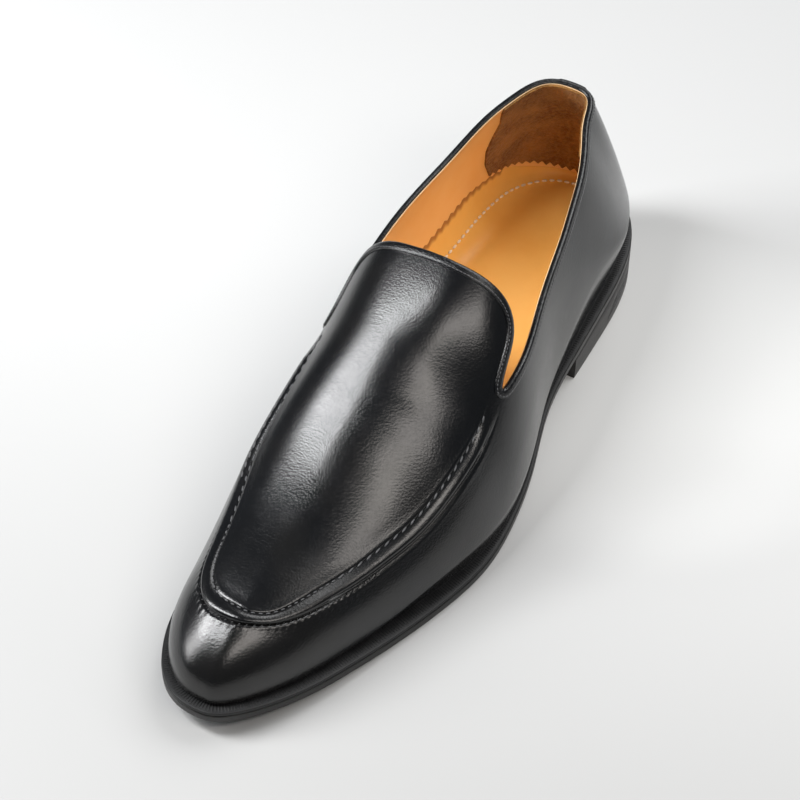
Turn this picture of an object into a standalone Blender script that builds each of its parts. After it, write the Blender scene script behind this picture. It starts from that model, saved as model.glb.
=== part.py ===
# A left slip-on leather shoe with an apron front, a bound open collar, a welted sole and a low heel.
# Sizes are millimetres in the shoe's own frame: side (lateral is positive), along (heel back to toe), height.
import bpy
import math
import numpy as np

MM = 0.001
NAME = "apron_loafer"


def table(names, *rows):
    """Named columns from rows, one row per section."""
    return {name: np.array([row[i] for row in rows]) for i, name in enumerate(names.split())}


# Overall sizes
LENGTH = 304.0            # outsole, heel back to toe tip
TOE_CAP = 262.0           # where the rounded toe begins
HEEL_CAP = 57.0           # where the rounded heel begins
TOE_POWER = 2.5           # squareness of the toe round
HEEL_POWER = 2.64         # squareness of the heel round
SWING = -6.2              # the toe leans this far toward the medial side
SWING_FROM = 136.0
SWING_POWER = 1.5         # how late the lean sets in
SPRING = 7.7              # lift of the toe tip
SPRING_FROM = 215.0
SPRING_POWER = 1.9
BREAST = 83.0             # front face of the heel
JOIN = 0.3                # gap between pieces that touch
OUTSOLE = 3.4             # outsole thickness
WELT = 1.4                # welt thickness
WALL = 2.0                # upper with its lining
INSOLE = 6.0
INSOLE_LEAN = 1.5         # its edge leans in this much toward the top
WELT_GAP = 0.4            # between the welt and the upper
WELT_INSET = 0.2          # the welt stands back from the sole edge
HEEL_DRAFT = 0.4          # the heel narrows this much to the floor
GROOVE = 0.5              # depth of the heel's side grooves
GROOVE_FROM = 6.2         # lowest groove above the floor
GROOVE_STEP = 1.4
GROOVES = 3
GROOVE_HALF = 0.4         # half width of a groove
GROOVE_END = 56.0         # the grooves run out toward here
GROOVE_FADE = 14.0
HEEL_CORNER = 4.0         # outline points this near the breast give way to its corners
SEAM_HEIGHT = 1.25        # raised apron seam
SEAM_HALF = 2.8           # half its width
BINDING_WIDE = 3.2        # binding strip along the collar and the tongue edge
BINDING_THICK = 0.8
BINDING_END = 3.0         # the collar strip stops this far behind the notch
TILT_ABOUT = -3.0         # side that the collar tilts about
REACH = 63.0              # cutters reach this far to each side
CLEAR = 150.0             # and up to here
BEHIND = -20.0            # and back to here
CUT_STEPS = 15            # sections of a cutter
EDGE_STEPS = (28, 20)     # points of the collar edge and of the tongue edge
CROWN_STEP = 3.0          # spine points nearer than this are one
LOW_ROWS = (-1.0, -0.66, -0.33, 0.0)      # rows of the upper, foot to widest line
MID_ROW = 0.4             # one row between the widest line and the seam
TOP_ROWS = (0.13, 0.3, 0.5, 0.74)         # rows from the seam to the spine
SHARP = math.radians(40)  # edges steeper than this stay crisp

# Half widths of the sole outline from the middle line
SOLE = table(
    "along lateral medial",
    (57.0, 32.4, 37.0),
    (83.0, 33.5, 37.0),
    (110.5, 35.6, 36.0),
    (138.0, 43.1, 36.0),
    (164.0, 48.4, 38.2),
    (190.0, 50.0, 42.4),
    (214.0, 45.7, 46.7),
    (238.0, 38.9, 43.3),
    (262.0, 31.0, 37.1),
)

# Height of the sole's underside: heel pitch, shank and tread
UNDERSIDE = table(
    "along height",
    (0.0, 17.6),
    (40.0, 15.2),
    (83.0, 11.2),
    (113.0, 6.9),
    (141.0, 3.2),
    (164.0, 0.8),
    (186.0, 0.0),
    (215.0, 0.0),
)

# Sections of the last: welt ledge, and height and side of the spine
LAST = table(
    "along ledge ridge side",
    (0.0, 3.6, 123.5, -3.5),
    (35.0, 4.1, 122.5, -3.5),
    (70.0, 3.6, 103.1, -3.2),
    (105.0, 1.9, 103.1, -2.4),
    (135.0, 1.5, 96.0, -1.5),
    (162.0, 1.6, 81.9, -6.0),
    (190.0, 4.8, 65.6, -7.2),
    (215.0, 6.5, 52.8, -9.6),
    (240.0, 6.6, 44.6, -7.6),
    (265.0, 6.2, 42.2, -6.4),
    (304.0, 5.4, 40.4, -6.2),
)
# Swell of each wall beyond its foot, height of its widest line and its roundness
LATERAL = table(
    "along bulge wide power",
    (0.0, 1.4, 15.8, 1.27),
    (14.0, 1.5, 17.9, 1.07),
    (35.0, 4.5, 21.6, 1.05),
    (70.0, 4.4, 28.4, 1.53),
    (105.0, 2.4, 15.0, 2.36),
    (135.0, 1.8, 14.0, 2.3),
    (152.0, 1.6, 12.6, 2.15),
    (166.0, 1.7, 12.0, 1.8),
    (190.0, 2.2, 12.0, 1.75),
    (215.0, 2.6, 9.6, 1.78),
    (240.0, 2.4, 5.6, 2.0),
    (270.0, 2.2, 3.3, 2.15),
    (304.0, 1.9, 2.8, 2.18),
)
MEDIAL = table(
    "along bulge wide power",
    (0.0, 1.4, 15.8, 1.27),
    (14.0, 2.6, 17.0, 1.31),
    (35.0, 3.0, 16.0, 1.57),
    (70.0, 4.2, 17.0, 2.63),
    (105.0, 6.8, 22.0, 2.72),
    (135.0, 7.8, 25.0, 2.6),
    (162.0, 6.8, 24.0, 2.12),
    (190.0, 5.4, 18.0, 2.38),
    (215.0, 1.4, 13.0, 2.4),
    (240.0, 1.4, 8.0, 2.37),
    (265.0, 2.8, 4.6, 2.28),
    (285.0, 3.4, 3.4, 2.2),
    (304.0, 1.9, 2.8, 2.18),
)
FAN_TOE = 150.0           # forward of this the sections turn round the toe
FAN_HEEL = 80.0           # behind this they turn round the heel

# Apron seam: share of the way from the widest line up to the spine
SEAM = table(
    "along lateral medial",
    (152.0, 0.205, 0.185),
    (180.0, 0.210, 0.180),
    (205.0, 0.191, 0.167),
    (217.0, 0.191, 0.174),
    (230.0, 0.199, 0.206),
    (242.0, 0.205, 0.240),
    (254.0, 0.218, 0.266),
    (266.0, 0.234, 0.291),
    (278.0, 0.247, 0.302),
    (288.0, 0.265, 0.302),
    (297.0, 0.298, 0.308),
    (304.0, 0.325, 0.325),
)
SEAM_END = 156.0          # the seam fades out before the notch
SEAM_FADE = 16.0

# Collar edge in side view, heel back to notch; tilt lowers the lateral side and lifts the medial one
TOPLINE = table(
    "along height tilt",
    (12.0, 91.0, 0.12),
    (20.0, 90.8, 0.12),
    (30.0, 88.8, 0.12),
    (40.0, 85.6, 0.10),
    (52.0, 81.8, 0.05),
    (66.0, 78.8, 0.01),
    (84.0, 76.0, 0.0),
    (99.0, 73.2, 0.0),
    (111.0, 70.0, 0.0),
    (131.0, 64.6, 0.0),
    (147.0, 61.8, 0.0),
    (156.0, 59.4, 0.0),
)
# Tongue edge in side view, notch to tip
TONGUE = table(
    "height along",
    (59.4, 156.0),
    (62.2, 153.7),
    (68.8, 145.8),
    (73.5, 138.8),
    (78.1, 134.8),
    (83.8, 132.8),
    (88.5, 132.8),
    (93.3, 133.8),
    (95.6, 134.7),
)


def spline(x, y):
    """Smooth curve through the rows, straight beyond its ends."""
    count = len(x)
    step = np.diff(x)
    matrix = np.eye(count)
    right = np.zeros(count)
    for i in range(1, count - 1):
        matrix[i, i - 1:i + 2] = step[i - 1], 2.0 * (step[i - 1] + step[i]), step[i]
        right[i] = 6.0 * ((y[i + 1] - y[i]) / step[i] - (y[i] - y[i - 1]) / step[i - 1])
    bend = np.linalg.solve(matrix, right)
    first = (y[1] - y[0]) / step[0] - step[0] * (2.0 * bend[0] + bend[1]) / 6.0
    last = (y[-1] - y[-2]) / step[-1] + step[-1] * (bend[-2] + 2.0 * bend[-1]) / 6.0

    def at(t):
        t = np.asarray(t, float)
        inside = np.clip(t, x[0], x[-1])
        k = np.clip(np.searchsorted(x, inside) - 1, 0, count - 2)
        before, after, h = x[k + 1] - inside, inside - x[k], step[k]
        value = (bend[k] * before ** 3 + bend[k + 1] * after ** 3) / (6.0 * h)
        value += (y[k] / h - bend[k] * h / 6.0) * before + (y[k + 1] / h - bend[k + 1] * h / 6.0) * after
        return value + np.minimum(t - x[0], 0.0) * first + np.maximum(t - x[-1], 0.0) * last
    return at


def ease(t):
    """Smooth step from 0 to 1."""
    t = np.clip(t, 0.0, 1.0)
    return t * t * (3.0 - 2.0 * t)


def columns(rows, key="along"):
    """A smooth curve for each column of a table against its key column."""
    return {name: spline(rows[key], values) for name, values in rows.items() if name != key}


SOLE_AT = columns(SOLE)
UNDERSIDE_AT = columns(UNDERSIDE)["height"]
LAST_AT = columns(LAST)
WALL_AT = (columns(LATERAL), columns(MEDIAL))
SEAM_AT = columns(SEAM)
TOPLINE_AT = columns(TOPLINE)
TONGUE_AT = columns(TONGUE, "height")["along"]
NOTCH = TOPLINE["along"][-1]
TIP = TONGUE["along"][-1]


def floor_line(along):
    """Height of the sole's underside."""
    shank = np.where(along < UNDERSIDE["along"][-2], np.maximum(UNDERSIDE_AT(along), 0.0), 0.0)
    lift = np.clip((along - SPRING_FROM) / (LENGTH - SPRING_FROM), 0.0, None)
    return shank + SPRING * lift ** SPRING_POWER


def swing(along):
    """Side shift of the middle line toward the toe."""
    return SWING * np.clip((along - SWING_FROM) / (LENGTH - SWING_FROM), 0.0, None) ** SWING_POWER


def outline(sections=(9, 19, 9)):
    """Sole outline as a loop: toe tip, lateral side, heel back, medial side; and the number of lateral steps."""
    toe, flank, heel = sections
    turn_toe = np.linspace(math.pi / 2, 0.0, toe, endpoint=False)
    turn_heel = np.linspace(0.0, math.pi / 2, heel + 1)
    along = np.concatenate([
        TOE_CAP + (LENGTH - TOE_CAP) * np.sin(turn_toe) ** (2.0 / TOE_POWER),
        np.linspace(TOE_CAP, HEEL_CAP, flank, endpoint=False),
        HEEL_CAP - HEEL_CAP * np.sin(turn_heel) ** (2.0 / HEEL_POWER),
    ])
    narrow = np.concatenate([
        np.abs(np.cos(turn_toe)) ** (2.0 / TOE_POWER),
        np.ones(flank),
        np.abs(np.cos(turn_heel)) ** (2.0 / HEEL_POWER),
    ])
    narrow[0] = narrow[-1] = 0.0
    sides = [swing(along) + sign * SOLE_AT[name](along) * narrow for sign, name in ((1, "lateral"), (-1, "medial"))]
    lateral = np.stack([sides[0], along], 1)
    medial = np.stack([sides[1], along], 1)
    return np.concatenate([lateral, medial[-2:0:-1]]), len(lateral) - 1


def inward(loop):
    """Unit directions pointing into a loop that runs clockwise seen from above with the toe up."""
    tangent = np.roll(loop, -1, 0) - np.roll(loop, 1, 0)
    normal = np.stack([tangent[:, 1], -tangent[:, 0]], 1)
    return normal / np.linalg.norm(normal, axis=1)[:, None]


def spine_along(along):
    """Where the section that starts at this place of the outline meets the spine."""
    tip = LENGTH - LAST["ledge"][-1]
    toe = along - np.clip(along - FAN_TOE, 0.0, None) ** 2 / (2.0 * (tip - FAN_TOE))
    return toe + np.clip(FAN_HEEL - along, 0.0, None) ** 2 / (2.0 * FAN_HEEL)


def is_medial(loop):
    return loop[:, 0] < swing(loop[:, 1]) - 1e-6


def by_side(loop, name):
    """Value of a wall column at each place of the outline, from the table of its own side."""
    along = loop[:, 1]
    return np.where(is_medial(loop), WALL_AT[1][name](along), WALL_AT[0][name](along))


def meridians(loop):
    """Foot, widest point and spine point of the section at each place of the outline."""
    along = loop[:, 1]
    inside = inward(loop)
    foot = loop + inside * LAST_AT["ledge"](along)[:, None]
    wide = foot - inside * by_side(loop, "bulge")[:, None]
    middle = spine_along(along)
    spine = np.stack([LAST_AT["side"](middle), middle], 1)
    base = floor_line(along) + OUTSOLE + JOIN
    return foot, wide, spine, base


def wall_point(loop, share):
    """Point of the last on each section; share runs from -1 at the foot, 0 at the widest line, to 1 at the spine."""
    foot, wide, spine, base = meridians(loop)
    tall = by_side(loop, "wide")
    power = by_side(loop, "power")
    below = np.clip(-share, 0.0, 1.0)
    reach = 1.0 - np.clip(share, 0.0, 1.0)
    low = wide + (foot - wide) * ease(below)[:, None]
    plan = np.where((share > 0.0)[:, None], spine + (wide - spine) * reach[:, None], low)
    rise = (1.0 - reach ** power) ** (1.0 / power)
    widest = base + tall
    height = np.where(share > 0.0, widest + (LAST_AT["ridge"](plan[:, 1]) - widest) * rise, widest - tall * below)
    return np.concatenate([plan, height[:, None]], 1)


def collar_height(side, along):
    """Height of the collar edge."""
    inside = np.clip(along, TOPLINE["along"][0], NOTCH)
    return TOPLINE_AT["height"](inside) - TOPLINE_AT["tilt"](inside) * (side - TILT_ABOUT)


def seam_share(loop):
    """Share at which the apron seam crosses each section."""
    along = np.maximum(loop[:, 1], SEAM["along"][0])
    return np.where(is_medial(loop), SEAM_AT["medial"](along), SEAM_AT["lateral"](along))


def side_middle():
    """Side of the middle of the sole's width."""
    side = outline((40, 60, 40))[0][:, 0]
    return 0.5 * (side.max() + side.min())


MIDDLE = side_middle()


def place(points):
    """Shoe frame in millimetres to the part frame in metres: toe toward -Y, lateral side toward +X."""
    points = np.asarray(points, float)
    return np.stack([points[:, 0] - MIDDLE, LENGTH / 2 - points[:, 1], points[:, 2]], 1) * MM


def add_mesh(name, points, faces, collection):
    """A mesh object with its faces turned outward."""
    mesh = bpy.data.meshes.new(name)
    mesh.from_pydata([tuple(p) for p in place(points)], [], faces)
    mesh.validate()
    volume = 0.0
    mesh.calc_loop_triangles()
    corner = np.array([v.co for v in mesh.vertices])
    for tri in mesh.loop_triangles:
        p, q, r = corner[list(tri.vertices)]
        volume += np.dot(p, np.cross(q, r))
    if volume < 0.0:
        mesh.flip_normals()
    mesh.shade_smooth()
    mesh.set_sharp_from_angle(angle=SHARP)
    body = bpy.data.objects.new(name, mesh)
    collection.objects.link(body)
    return body


def ladder(count, half, base, flip):
    """Faces that close a loop of the outline, rung by rung between its two sides."""
    faces = [(base, base + 1, base + count - 1)]
    for i in range(1, half - 1):
        faces.append((base + i, base + i + 1, base + count - i - 1, base + count - i))
    faces.append((base + half - 1, base + half, base + half + 1))
    return [face[::-1] for face in faces] if flip else faces


def bands(count, rows):
    """Quads between successive rows of a loop."""
    return [(r * count + j, r * count + (j + 1) % count, (r + 1) * count + (j + 1) % count, (r + 1) * count + j)
            for r in range(rows - 1) for j in range(count)]


def plate(name, loop, half, low, high, collection, lean=0.0):
    """A plate with the given outline between two heights that follow the sole; its edge may lean in."""
    count = len(loop)
    top = loop + inward(loop) * lean
    points = np.concatenate([np.column_stack([loop, low]), np.column_stack([top, high])])
    faces = bands(count, 2) + ladder(count, half, 0, True) + ladder(count, half, count, False)
    return add_mesh(name, points, faces, collection)


def make_outsole(collection):
    loop, half = outline()
    low = floor_line(loop[:, 1])
    return plate("outsole", loop, half, low, low + OUTSOLE, collection)


def make_insole(collection):
    loop, half = outline()
    foot, wide, spine, base = meridians(loop)
    inner = foot + inward(loop) * (WALL + JOIN)
    return plate("insole", inner, half, base, base + INSOLE, collection, INSOLE_LEAN)


def make_welt(collection):
    loop = outline()[0]
    inside = inward(loop)
    base = floor_line(loop[:, 1]) + OUTSOLE + JOIN
    near = LAST_AT["ledge"](loop[:, 1]) - WELT_GAP
    swell = by_side(loop, "bulge") * (1.0 - ease(1.0 - WELT / by_side(loop, "wide")))
    foot, top = (loop + inside * inset[:, None] for inset in (near, near - swell))
    outer = loop + inside * WELT_INSET
    rows = [(outer, base), (outer, base + WELT), (top, base + WELT), (foot, base)]
    points = np.concatenate([np.column_stack(row) for row in rows + rows[:1]])
    count = len(loop)
    faces = [tuple(k % (4 * count) for k in face) for face in bands(count, 5)]
    return add_mesh("welt", points[:4 * count], faces, collection)


def make_heel(collection):
    loop = outline((9, 19, 12))[0]
    inside = inward(loop)
    keep = np.where(loop[:, 1] < BREAST - HEEL_CORNER)[0]
    corners = [np.array([sign * SOLE_AT[name](BREAST), BREAST]) for sign, name in ((1, "lateral"), (-1, "medial"))]
    ring = np.concatenate([[corners[0]], loop[keep], [corners[1]]])
    into = np.concatenate([[(-1.0, 0.0)], inside[keep], [(1.0, 0.0)]])
    along = ring[:, 1]
    top = floor_line(along) - JOIN
    mark = GROOVE * ease((GROOVE_END - along) / GROOVE_FADE)
    levels = [(0.0, 0.0)]
    for k in range(GROOVES):
        z = GROOVE_FROM + k * GROOVE_STEP
        levels += [(z - GROOVE_HALF, 0.0), (z, 1.0), (z + GROOVE_HALF, 0.0)]
    rows = []
    for z, deep in levels:
        inset = HEEL_DRAFT * (1.0 - z / top) + mark * deep
        rows.append(np.column_stack([ring + into * inset[:, None], np.full(len(ring), z)]))
    rows.append(np.column_stack([ring, top]))
    count = len(ring)
    points = np.concatenate(rows)
    faces = bands(count, len(rows))
    for base, flip in ((0, True), ((len(rows) - 1) * count, False)):
        rungs = [(base + i, base + i + 1, base + count - 2 - i, base + count - 1 - i) for i in range(count // 2 - 1)]
        if count % 2:
            k = count // 2
            rungs.append((base + k - 1, base + k, base + k + 1))
        faces += [rung[::-1] for rung in rungs] if flip else rungs
    return add_mesh("heel", points, faces, collection)


def facing(points, faces):
    """Unit vertex normals of a mesh given by its faces."""
    normal = np.zeros_like(points)
    for face in faces:
        corner = points[list(face)]
        if len(face) == 4:
            flat = np.cross(corner[2] - corner[0], corner[3] - corner[1])
        else:
            flat = np.cross(corner[1] - corner[0], corner[2] - corner[0])
        for k in face:
            normal[k] += flat
    return normal / np.linalg.norm(normal, axis=1)[:, None]


def upper_rows(loop):
    """Shares of the upper's rows on each section, and which row is the crest of the seam."""
    seam = seam_share(loop)
    near = 0.01
    span = np.linalg.norm(wall_point(loop, seam + near) - wall_point(loop, seam - near), axis=1) / (2.0 * near)
    half = SEAM_HALF / span
    one = np.ones(len(loop))
    rows = [row * one for row in LOW_ROWS] + [MID_ROW * (seam - half), seam - half, seam, seam + half]
    crest = len(rows) - 2
    rows += [seam + half + (1.0 - seam - half) * way for way in TOP_ROWS]
    return rows, crest


def last_skin():
    """Points, faces and normals of the closed-over last, with its outline and the row of the seam's crest."""
    loop, half = outline()
    count = len(loop)
    rows, crest = upper_rows(loop)
    grid = np.concatenate([wall_point(loop, row) for row in rows])
    spine = wall_point(loop, np.ones(count))[:half + 1]
    crown = [0]
    for i in range(1, half + 1):
        fresh = np.linalg.norm(spine[i] - spine[np.argmax(np.array(crown) == crown[-1])]) > CROWN_STEP
        crown.append(crown[-1] + 1 if fresh else crown[-1])
    first = [crown.index(k) for k in range(crown[-1] + 1)]
    points = np.concatenate([grid, spine[first]])
    faces = bands(count, len(rows))
    base = (len(rows) - 1) * count
    for j in range(count):
        k = (j + 1) % count
        ends = [len(grid) + crown[i if i <= half else count - i] for i in (k, j)]
        faces.append((base + j, base + k) + tuple(dict.fromkeys(ends)))
    normal = facing(points, faces)
    if np.mean(normal[len(grid):, 2]) < 0.0:
        normal = -normal
    return points, faces, normal, loop, crest


def shell(name, outer, inner, faces, count, collection):
    """A skin with thickness: outside, inside and the rim along its foot."""
    total = len(outer)
    sides = faces + [tuple(total + k for k in reversed(face)) for face in faces]
    sides += [(j, total + j, total + (j + 1) % count, (j + 1) % count) for j in range(count)]
    return add_mesh(name, np.concatenate([outer, inner]), sides, collection)


def trim(body, cutter, operation):
    """Cut a body with another."""
    step = body.modifiers.new(cutter.name, "BOOLEAN")
    step.operation = operation
    step.solver = "EXACT"
    step.object = cutter


def make_upper(collection, cutters):
    """Hollow upper: the last's own surface and the same surface set in by the wall, cut open at collar and notch."""
    outer, faces, normal, loop, crest = last_skin()
    count = len(loop)
    thick = normal.copy()
    thick[:count, 2] = 0.0
    thick /= np.linalg.norm(thick, axis=1)[:, None]
    inner = outer - thick * WALL
    inner[:count, 2] = outer[:count, 2]
    raised = slice(crest * count, (crest + 1) * count)
    proud = SEAM_HEIGHT * ease((loop[:, 1] - SEAM_END) / SEAM_FADE)
    outer[raised] += normal[raised] * proud[:, None]
    upper = shell("upper", outer, inner, faces, count, collection)
    trim(upper, prism("opening", opening_view, cutters), "DIFFERENCE")
    return upper


def tongue_edge(inset):
    """Side view of the tongue edge, notch to tip, set in by this much."""
    heights = np.linspace(TONGUE["height"][1], TONGUE["height"][-1], EDGE_STEPS[1])
    slope = np.gradient(TONGUE_AT(heights), heights)
    across = np.sqrt(1.0 + slope ** 2)
    edge = list(zip(TONGUE_AT(heights) + inset / across, heights - inset * slope / across))
    return edge + [(edge[-1][0], CLEAR)]


def collar_edge(side, end, inset):
    """Side view of the collar edge at this side, heel back to its end, lowered by this much."""
    along = np.concatenate([[BEHIND], np.linspace(TOPLINE["along"][0], end, EDGE_STEPS[0])])
    return [(a, collar_height(side, a) - inset) for a in along]


def opening_view(side):
    return collar_edge(side, NOTCH, 0.0) + tongue_edge(0.0) + [(BEHIND, CLEAR)]


def collar_view(side):
    return collar_edge(side, NOTCH - BINDING_END, 0.0) + collar_edge(side, NOTCH - BINDING_END, BINDING_WIDE)[::-1]


def tongue_view(side):
    return tongue_edge(0.0) + tongue_edge(BINDING_WIDE)[::-1]


def prism(name, view, cutters):
    """Cutter with a side view drawn across the shoe in steps."""
    sides = np.linspace(-REACH, REACH, CUT_STEPS)
    points = [(side, *point) for side in sides for point in view(side)]
    count = len(points) // len(sides)
    faces = bands(count, len(sides))
    faces += [tuple(range(count)), tuple(range(len(points) - 1, len(points) - count - 1, -1))]
    cut = add_mesh(name, points, faces, cutters)
    cut.hide_render = True
    cut.display_type = "WIRE"
    return cut


def make_binding(name, view, collection, cutters):
    """A strip along an edge of the opening: the last's own surface lifted just off the upper."""
    points, faces, normal, loop, crest = last_skin()
    near, far = points + normal * JOIN, points + normal * (JOIN + BINDING_THICK)
    strip = shell(name, far, near, faces, len(loop), collection)
    trim(strip, prism(name + "_view", view, cutters), "INTERSECT")
    return strip


def surface(name, colour, roughness):
    """A plain material."""
    material = bpy.data.materials.new(name)
    material.use_nodes = True
    shader = material.node_tree.nodes["Principled BSDF"]
    shader.inputs["Base Color"].default_value = (*colour, 1.0)
    shader.inputs["Roughness"].default_value = roughness
    return material


def main():
    for item in list(bpy.data.objects):
        bpy.data.objects.remove(item)
    parts = bpy.data.collections.new(NAME)
    cutters = bpy.data.collections.new("cutters")
    bpy.context.scene.collection.children.link(parts)
    bpy.context.scene.collection.children.link(cutters)
    calf = surface("black_calf", (0.010, 0.010, 0.011), 0.25)
    edge = surface("black_sole", (0.012, 0.012, 0.012), 0.45)
    tan = surface("tan_leather", (0.55, 0.23, 0.06), 0.5)
    make_upper(parts, cutters).data.materials.append(calf)
    make_binding("collar_binding", collar_view, parts, cutters).data.materials.append(calf)
    make_binding("tongue_binding", tongue_view, parts, cutters).data.materials.append(calf)
    make_insole(parts).data.materials.append(tan)
    make_welt(parts).data.materials.append(edge)
    make_outsole(parts).data.materials.append(edge)
    make_heel(parts).data.materials.append(edge)


if __name__ == "__main__":
    main()
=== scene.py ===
import math
import bpy
import numpy as np
from mathutils import Matrix, Vector


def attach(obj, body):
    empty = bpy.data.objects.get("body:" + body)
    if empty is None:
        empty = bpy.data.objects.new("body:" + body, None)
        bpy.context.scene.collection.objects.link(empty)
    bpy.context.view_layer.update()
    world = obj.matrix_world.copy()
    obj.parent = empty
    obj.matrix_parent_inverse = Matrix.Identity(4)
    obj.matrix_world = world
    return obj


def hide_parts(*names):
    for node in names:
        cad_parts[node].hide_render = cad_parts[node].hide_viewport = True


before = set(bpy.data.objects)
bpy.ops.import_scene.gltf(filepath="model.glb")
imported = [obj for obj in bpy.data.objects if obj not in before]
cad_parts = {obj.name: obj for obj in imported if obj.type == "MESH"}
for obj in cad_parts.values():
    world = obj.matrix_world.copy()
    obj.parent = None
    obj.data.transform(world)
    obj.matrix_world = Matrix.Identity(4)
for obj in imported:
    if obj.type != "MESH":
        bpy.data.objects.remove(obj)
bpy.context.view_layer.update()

print("frame loaded:", ", ".join(sorted(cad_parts)))

# sizes are millimetres in the shoe's own frame: side (lateral positive), along (heel back to toe), height
mm = 0.001                                 # in metres
shoe = dict(
    length=304.0,
    toeCap=262.0, toePower=2.5,            # where the toe round begins, and how square it is
    heelCap=57.0, heelPower=2.64,
    swing=-6.2, swingFrom=136.0, swingPower=1.5,     # the toe leans to the medial side
    spring=7.7, springFrom=215.0, springPower=1.9,   # toe lift
    breast=83.0,                           # front of the heel
    outsole=3.4, welt=1.4, join=0.3,
    wall=2.0, leather=1.2, insole=6.0,
    fanToe=150.0, fanHeel=80.0,            # sections turn round the toe and the heel beyond these
    collarMiddle=-3.0, notchRound=2.4,     # the line the collar tilts about, the soft corner at the tongue
)


def rows(names, *values):
    return {name: np.array([row[i] for row in values]) for i, name in enumerate(names.split())}


soleEdge = rows(                           # half widths from the middle line
    "along lateral medial",
    (57.0, 32.4, 37.0),
    (83.0, 33.5, 37.0),
    (110.5, 35.6, 36.0),
    (138.0, 43.1, 36.0),
    (164.0, 48.4, 38.2),
    (190.0, 50.0, 42.4),
    (214.0, 45.7, 46.7),
    (238.0, 38.9, 43.3),
    (262.0, 31.0, 37.1),
)
underside = rows(                          # heel pitch, shank and tread
    "along height",
    (0.0, 17.6),
    (40.0, 15.2),
    (83.0, 11.2),
    (113.0, 6.9),
    (141.0, 3.2),
    (164.0, 0.8),
    (186.0, 0.0),
    (215.0, 0.0),
)
last = rows(                               # welt ledge, height and side of the spine
    "along ledge ridge side",
    (0.0, 3.6, 123.5, -3.5),
    (35.0, 4.1, 122.5, -3.5),
    (70.0, 3.6, 103.1, -3.2),
    (105.0, 1.9, 103.1, -2.4),
    (135.0, 1.5, 96.0, -1.5),
    (162.0, 1.6, 81.9, -6.0),
    (190.0, 4.8, 65.6, -7.2),
    (215.0, 6.5, 52.8, -9.6),
    (240.0, 6.6, 44.6, -7.6),
    (265.0, 6.2, 42.2, -6.4),
    (304.0, 5.4, 40.4, -6.2),
)
lateralWall = rows(                        # swell beyond the foot, height of the widest line, roundness
    "along bulge wide power",
    (0.0, 1.4, 15.8, 1.27),
    (14.0, 1.5, 17.9, 1.07),
    (35.0, 4.5, 21.6, 1.05),
    (70.0, 4.4, 28.4, 1.53),
    (105.0, 2.4, 15.0, 2.36),
    (135.0, 1.8, 14.0, 2.3),
    (152.0, 1.6, 12.6, 2.15),
    (166.0, 1.7, 12.0, 1.8),
    (190.0, 2.2, 12.0, 1.75),
    (215.0, 2.6, 9.6, 1.78),
    (240.0, 2.4, 5.6, 2.0),
    (270.0, 2.2, 3.3, 2.15),
    (304.0, 1.9, 2.8, 2.18),
)
medialWall = rows(
    "along bulge wide power",
    (0.0, 1.4, 15.8, 1.27),
    (14.0, 2.6, 17.0, 1.31),
    (35.0, 3.0, 16.0, 1.57),
    (70.0, 4.2, 17.0, 2.63),
    (105.0, 6.8, 22.0, 2.72),
    (135.0, 7.8, 25.0, 2.6),
    (162.0, 6.8, 24.0, 2.12),
    (190.0, 5.4, 18.0, 2.38),
    (215.0, 1.4, 13.0, 2.4),
    (240.0, 1.4, 8.0, 2.37),
    (265.0, 2.8, 4.6, 2.28),
    (285.0, 3.4, 3.4, 2.2),
    (304.0, 1.9, 2.8, 2.18),
)
apronLine = rows(                          # share of the way from the widest line to the spine
    "along lateral medial",
    (152.0, 0.205, 0.185),
    (180.0, 0.210, 0.180),
    (205.0, 0.191, 0.167),
    (217.0, 0.191, 0.174),
    (230.0, 0.199, 0.206),
    (242.0, 0.205, 0.240),
    (254.0, 0.218, 0.266),
    (266.0, 0.234, 0.291),
    (278.0, 0.247, 0.302),
    (288.0, 0.265, 0.302),
    (297.0, 0.298, 0.308),
    (304.0, 0.325, 0.325),
)
collarLine = rows(                         # side view of the collar, tilt lowers its lateral side
    "along height tilt",
    (12.0, 91.0, 0.12),
    (20.0, 90.8, 0.12),
    (30.0, 88.8, 0.12),
    (40.0, 85.6, 0.10),
    (52.0, 81.8, 0.05),
    (66.0, 78.8, 0.01),
    (84.0, 76.0, 0.0),
    (99.0, 73.2, 0.0),
    (111.0, 70.0, 0.0),
    (131.0, 64.6, 0.0),
    (147.0, 61.8, 0.0),
    (156.0, 59.4, 0.0),
)
tongueLine = rows(                         # side view of the tongue, notch to tip
    "height along",
    (59.4, 156.0),
    (62.2, 153.7),
    (68.8, 145.8),
    (73.5, 138.8),
    (78.1, 134.8),
    (83.8, 132.8),
    (88.5, 132.8),
    (93.3, 133.8),
    (95.6, 134.7),
)


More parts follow.
